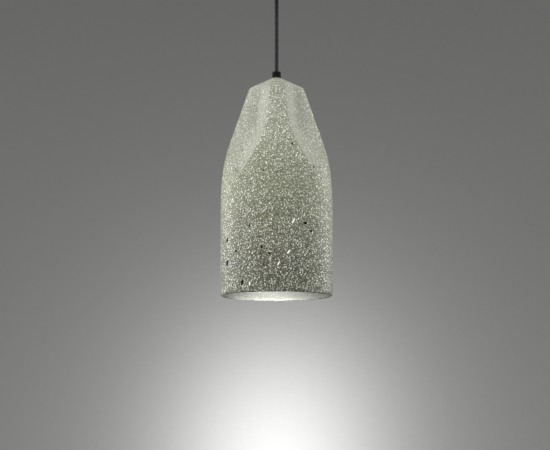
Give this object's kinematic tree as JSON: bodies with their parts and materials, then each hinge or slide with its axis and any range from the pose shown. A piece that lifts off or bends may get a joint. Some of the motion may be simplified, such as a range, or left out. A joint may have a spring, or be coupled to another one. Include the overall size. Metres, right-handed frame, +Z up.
{
  "type": "pendant ceiling light",
  "caption": "Pendant ceiling light: a round rose, a black cord and a tall speckled shade, pinched into lobes at the top and open at the bottom, over a screw-in bulb.",
  "frame": {"origin": "middle of the mounting bracket's top face, which lies on the ceiling", "axes": "+Z up, out of the bracket into the ceiling; the cord and the shade hang along -Z; the shade's lobes point along +X, +Y, -X and -Y, and the rose's two side screws lie along X"},
  "size_m": [0.14, 0.14, 0.427],
  "materials": {
    "terrazzo": "satin",
    "cord_sheath": "satin",
    "black_plastic": "satin",
    "rose_paint": "matte",
    "rubber": "matte",
    "zinc_steel": "satin",
    "brass": "satin",
    "nickel": "satin",
    "white_plastic": "satin",
    "insert_ceramic": "matte",
    "opal_globe": "satin",
    "circuit_board": "satin",
    "brown_wire": "satin",
    "blue_wire": "satin",
    "earth_wire": "satin"
  },
  "bodies": {
    "rose": {"mounting_bracket": "zinc_steel", "canopy_cup": "rose_paint", "canopy_screw_right": "rose_paint", "canopy_screw_left": "rose_paint", "cord_outlet": "black_plastic", "outlet_clamp_screw": "zinc_steel", "outlet_nut": "zinc_steel", "rose_cord_tail": "cord_sheath", "terminal_block": "white_plastic", "block_screw": "zinc_steel", "earth_screw": "brass", "terminal_screw_1": "brass", "terminal_screw_2": "brass", "terminal_screw_3": "brass", "terminal_screw_4": "brass", "rose_live_wire": "brown_wire", "rose_neutral_wire": "blue_wire", "rose_earth_wire": "earth_wire"},
    "bush": {"exit_bush": "rubber"},
    "hanging_cord": {"cord": "cord_sheath"},
    "lamp": {"grip_collar": "black_plastic", "grip_screw": "zinc_steel", "top_gasket": "rubber", "threaded_tube": "zinc_steel", "inner_cord": "cord_sheath", "inner_gasket": "rubber", "steel_washer": "zinc_steel", "tube_nut": "zinc_steel", "holder_nut": "zinc_steel", "shade": "terrazzo", "holder_cap": "black_plastic", "holder_shell": "black_plastic", "holder_screw_shell": "brass", "holder_insert": "insert_ceramic", "holder_live_terminal": "brass", "holder_live_terminal_screw": "zinc_steel", "holder_live_wire": "brown_wire", "holder_neutral_terminal": "brass", "holder_neutral_terminal_screw": "zinc_steel", "holder_neutral_wire": "blue_wire"},
    "contact": {"centre_contact": "brass"},
    "bulb": {"bulb_contact": "nickel", "bulb_insulator": "black_plastic", "bulb_screw_shell": "nickel", "bulb_housing": "white_plastic", "bulb_globe": "opal_globe", "driver_board": "circuit_board", "led_board": "circuit_board"}
  },
  "joints": [
    {"name": "swing_front_back", "type": "hinge", "parent": "rose", "child": "bush", "pos_m": [0, 0, -0.035], "axis": [1, 0, 0], "range_deg": [-20, 20]},
    {"name": "swing_side_to_side", "type": "hinge", "parent": "bush", "child": "hanging_cord", "pos_m": [0, 0, -0.035], "axis": [0, 1, 0], "range_deg": [-20, 20]},
    {"name": "twist", "type": "hinge", "parent": "hanging_cord", "child": "lamp", "pos_m": [0, 0, -0.1451], "axis": [0, 0, 1], "range_deg": [-90, 90]},
    {"name": "bulb_travel", "type": "slide", "parent": "lamp", "child": "contact", "axis": [0, 0, -1], "range_m": [0, 0.00452]},
    {"name": "bulb_turn", "type": "hinge", "parent": "contact", "child": "bulb", "pos_m": [0, 0, -0.265], "axis": [0, 0, -1], "range_deg": [0, 450]}
  ],
  "couplings": [
    {"joint": "bulb_turn", "follows": "bulb_travel", "rad_per_m": 1735.7}
  ]
}
